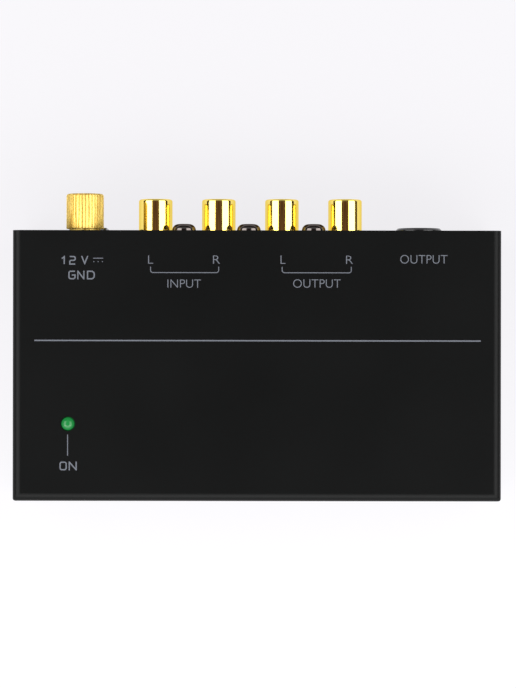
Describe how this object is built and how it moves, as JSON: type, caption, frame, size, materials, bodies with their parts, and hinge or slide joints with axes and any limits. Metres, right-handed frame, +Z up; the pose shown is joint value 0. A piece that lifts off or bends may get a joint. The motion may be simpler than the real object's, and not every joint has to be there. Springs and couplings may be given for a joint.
{
  "type": "phono preamp",
  "caption": "Compact phono preamp: folded black steel case with gold phono sockets, 6.35 mm jack, power inlet, knurled ground terminal and a green power lamp.",
  "frame": {"origin": "middle of the whole footprint, rear sockets included, on the plane under the rubber feet", "axes": "+X to the right seen from the front, +Y to the rear panel with the sockets, +Z up"},
  "size_m": [0.12, 0.0756, 0.0299],
  "materials": {
    "powder_coat": "satin black powder coat with a very fine texture",
    "rubber": "matte black rubber",
    "dark_screw": "polished black-nickel plate",
    "plated_steel": "tinned or nickel plate",
    "board_mask": "green solder mask",
    "black_moulding": "satin black moulded plastic",
    "gold_plate": "mirror gold plate",
    "white_moulding": "white moulded plastic",
    "red_moulding": "red moulded plastic",
    "spring_metal": "plated spring bronze",
    "brass": "satin turned brass",
    "green_lens": "tinted green epoxy, lit",
    "can_aluminium": "bare aluminium can"
  },
  "bodies": {
    "case": {"top_cover": "powder_coat", "base_chassis": "powder_coat", "rubber_feet": "rubber", "floor_screws": "dark_screw", "board_standoffs": "plated_steel", "board_screws": "plated_steel", "circuit_board": "board_mask", "phono_socket_block": "black_moulding", "phono_shells": "gold_plate", "phono_insulators_left": "white_moulding", "phono_insulators_right": "red_moulding", "phono_contacts": "gold_plate", "panel_screws": "dark_screw", "output_jack_housing": "black_moulding", "jack_terminals": "plated_steel", "power_inlet_housing": "black_moulding", "power_inlet_pin": "plated_steel", "power_inlet_terminals": "plated_steel", "ground_stud": "brass", "ground_solder_tag": "plated_steel", "lamp_lens": "green_lens", "lamp_leads": "plated_steel", "lamp_spacer": "black_moulding", "reservoir_capacitors": "can_aluminium", "coupling_capacitors": "can_aluminium", "film_capacitors": "red_moulding", "op_amps": "black_moulding", "chip_resistors": "black_moulding", "voltage_regulator": "black_moulding", "supply_diode": "black_moulding", "supply_choke": "black_moulding"},
    "ground_washer": {"ground_washer": "brass"},
    "ground_nut": {"ground_thumb_nut": "brass"},
    "sleeve_contact": {"jack_sleeve_spring": "spring_metal"},
    "ring_contact": {"jack_ring_spring": "spring_metal"},
    "tip_contact": {"jack_tip_spring": "spring_metal"},
    "inlet_contact": {"power_inlet_spring": "spring_metal"}
  },
  "joints": [
    {"name": "ground_washer_travel", "type": "slide", "parent": "case", "child": "ground_washer", "axis": [0, 1, 0], "range_m": [0, 0.0028]},
    {"name": "ground_nut_turn", "type": "hinge", "parent": "ground_washer", "child": "ground_nut", "pos_m": [-0.04251, 0.0292, 0.0236], "axis": [0, 1, 0], "range_deg": [0, 1440]},
    {"name": "sleeve_contact_flex", "type": "hinge", "parent": "case", "child": "sleeve_contact", "pos_m": [0.04585, 0.00625, 0.0149], "axis": [0, 0, -1], "range_deg": [0, 5], "stiffness_Nm_per_rad": 0.1},
    {"name": "ring_contact_flex", "type": "hinge", "parent": "case", "child": "ring_contact", "pos_m": [0.04045, 0.01825, 0.02], "axis": [-1, 0, 0], "range_deg": [0, 5], "stiffness_Nm_per_rad": 0.1},
    {"name": "tip_contact_flex", "type": "hinge", "parent": "case", "child": "tip_contact", "pos_m": [0.03506, 0.01225, 0.0149], "axis": [0, 0, -1], "range_deg": [0, 5], "stiffness_Nm_per_rad": 0.1},
    {"name": "inlet_contact_flex", "type": "hinge", "parent": "case", "child": "inlet_contact", "pos_m": [-0.04206, 0.02085, 0.0092], "axis": [-1, 0, 0], "range_deg": [0, 7], "stiffness_Nm_per_rad": 0.1}
  ],
  "couplings": [
    {"joint": "ground_nut_turn", "follows": "ground_washer_travel", "rad_per_m": 8976}
  ]
}
